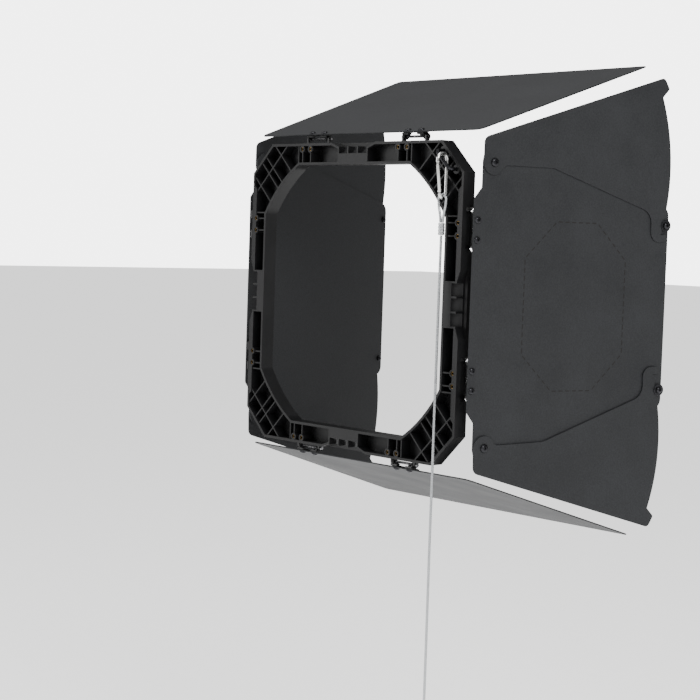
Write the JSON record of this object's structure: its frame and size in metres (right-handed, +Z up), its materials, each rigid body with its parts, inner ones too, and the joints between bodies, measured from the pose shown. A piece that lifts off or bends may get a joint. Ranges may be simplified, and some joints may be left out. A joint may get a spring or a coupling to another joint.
{
  "type": "barn door attachment",
  "caption": "Square clip-on frame for a Fresnel stage light with hinged top, bottom and side doors, folding wings on the side doors, and a hanging safety cable.",
  "frame": {"origin": "middle of the light opening, on the rear plane of the frame, where it meets the light", "axes": "+Y the way the light shines, +Z up, +X towards the door named right"},
  "size_m": [0.4779, 0.2885, 0.8312],
  "materials": {
    "moulded_nylon": "black glass-filled nylon with a fine moulded grain",
    "coated_sheet": "sheet with a matt black powder coat, fine grain",
    "black_steel": "pressed steel with a satin black coat",
    "black_oxide": "black oxide on steel, slightly oily",
    "pin_steel": "plain turned steel, dull",
    "wire_rope": "galvanised wire rope",
    "crimped_aluminium": "pressed sleeve with crimp marks",
    "chromed_wire": "bright plated bent wire"
  },
  "bodies": {
    "root": {"frame": "moulded_nylon", "top_hinge_1_frame_leaf": "black_steel", "top_hinge_2_frame_leaf": "black_steel", "bottom_hinge_1_frame_leaf": "black_steel", "bottom_hinge_2_frame_leaf": "black_steel", "right_hinge_1_frame_leaf": "black_steel", "right_hinge_2_frame_leaf": "black_steel", "left_hinge_1_frame_leaf": "black_steel", "left_hinge_2_frame_leaf": "black_steel", "top_hinge_1_pin": "pin_steel", "top_hinge_2_pin": "pin_steel", "bottom_hinge_1_pin": "pin_steel", "bottom_hinge_2_pin": "pin_steel", "right_hinge_1_pin": "pin_steel", "right_hinge_2_pin": "pin_steel", "left_hinge_1_pin": "pin_steel", "left_hinge_2_pin": "pin_steel", "safety_bail": "black_oxide", "safety_bail_nut_1": "black_oxide", "safety_bail_nut_2": "black_oxide", "safety_cable": "wire_rope", "upper_cable_eye": "wire_rope", "upper_ferrule": "crimped_aluminium", "lower_ferrule": "crimped_aluminium", "lower_cable_eye": "wire_rope", "upper_snap_hook": "chromed_wire", "lower_snap_hook": "chromed_wire"},
    "top_door": {"top_door": "coated_sheet", "top_hinge_1_door_leaf": "black_steel", "top_hinge_2_door_leaf": "black_steel"},
    "bottom_door": {"bottom_door": "coated_sheet", "bottom_hinge_1_door_leaf": "black_steel", "bottom_hinge_2_door_leaf": "black_steel"},
    "right_door": {"right_door": "coated_sheet", "right_hinge_1_door_leaf": "black_steel", "right_hinge_2_door_leaf": "black_steel", "right_upper_wing_pivot_screw": "black_oxide", "right_upper_wing_guide_screw": "black_oxide", "right_upper_wing_guide_washer": "black_oxide", "right_lower_wing_pivot_screw": "black_oxide", "right_lower_wing_guide_screw": "black_oxide", "right_lower_wing_guide_washer": "black_oxide"},
    "left_door": {"left_door": "coated_sheet", "left_hinge_1_door_leaf": "black_steel", "left_hinge_2_door_leaf": "black_steel", "left_upper_wing_pivot_screw": "black_oxide", "left_upper_wing_guide_screw": "black_oxide", "left_upper_wing_guide_washer": "black_oxide", "left_lower_wing_pivot_screw": "black_oxide", "left_lower_wing_guide_screw": "black_oxide", "left_lower_wing_guide_washer": "black_oxide"},
    "right_upper_wing": {"right_upper_wing": "coated_sheet"},
    "right_lower_wing": {"right_lower_wing": "coated_sheet"},
    "left_upper_wing": {"left_upper_wing": "coated_sheet"},
    "left_lower_wing": {"left_lower_wing": "coated_sheet"},
    "upper_hook_gate": {"upper_hook_gate": "chromed_wire"},
    "lower_hook_gate": {"lower_hook_gate": "chromed_wire"}
  },
  "joints": [
    {"name": "top_door_hinge", "type": "hinge", "parent": "root", "child": "top_door", "pos_m": [0, 0.021, 0.181], "axis": [1, 0, 0], "range_deg": [-76, 70]},
    {"name": "bottom_door_hinge", "type": "hinge", "parent": "root", "child": "bottom_door", "pos_m": [0, 0.021, -0.181], "axis": [-1, 0, 0], "range_deg": [-60, 72]},
    {"name": "right_door_hinge", "type": "hinge", "parent": "root", "child": "right_door", "pos_m": [0.181, 0.0117, 0], "axis": [0, 0, 1], "range_deg": [-76, 41]},
    {"name": "left_door_hinge", "type": "hinge", "parent": "root", "child": "left_door", "pos_m": [-0.181, 0.0117, 0], "axis": [0, 0, -1], "range_deg": [-83, 34]},
    {"name": "right_upper_wing_pivot", "type": "hinge", "parent": "right_door", "child": "right_upper_wing", "pos_m": [0.19261, 0.02684, 0.1518], "axis": [-0.9703, 0.2419, 0], "range_deg": [0, 34]},
    {"name": "right_lower_wing_pivot", "type": "hinge", "parent": "right_door", "child": "right_lower_wing", "pos_m": [0.19261, 0.02684, -0.1518], "axis": [-0.9703, 0.2419, 0], "range_deg": [-32, 2]},
    {"name": "left_upper_wing_pivot", "type": "hinge", "parent": "left_door", "child": "left_upper_wing", "pos_m": [-0.19068, 0.02814, 0.1518], "axis": [-0.9925, -0.1219, 0], "range_deg": [0, 34]},
    {"name": "left_lower_wing_pivot", "type": "hinge", "parent": "left_door", "child": "left_lower_wing", "pos_m": [-0.19068, 0.02814, -0.1518], "axis": [-0.9925, -0.1219, 0], "range_deg": [-32, 2]},
    {"name": "upper_gate_hinge", "type": "hinge", "parent": "root", "child": "upper_hook_gate", "pos_m": [0.1535, -0.0136, 0.11968], "axis": [-1, 0, 0], "range_deg": [0, 18], "stiffness_Nm_per_rad": 0.02, "springref_deg": -5.73},
    {"name": "lower_gate_hinge", "type": "hinge", "parent": "root", "child": "lower_hook_gate", "pos_m": [0.1535, -0.0136, -0.5149], "axis": [1, 0, 0], "range_deg": [0, 18], "stiffness_Nm_per_rad": 0.02, "springref_deg": -5.73}
  ]
}
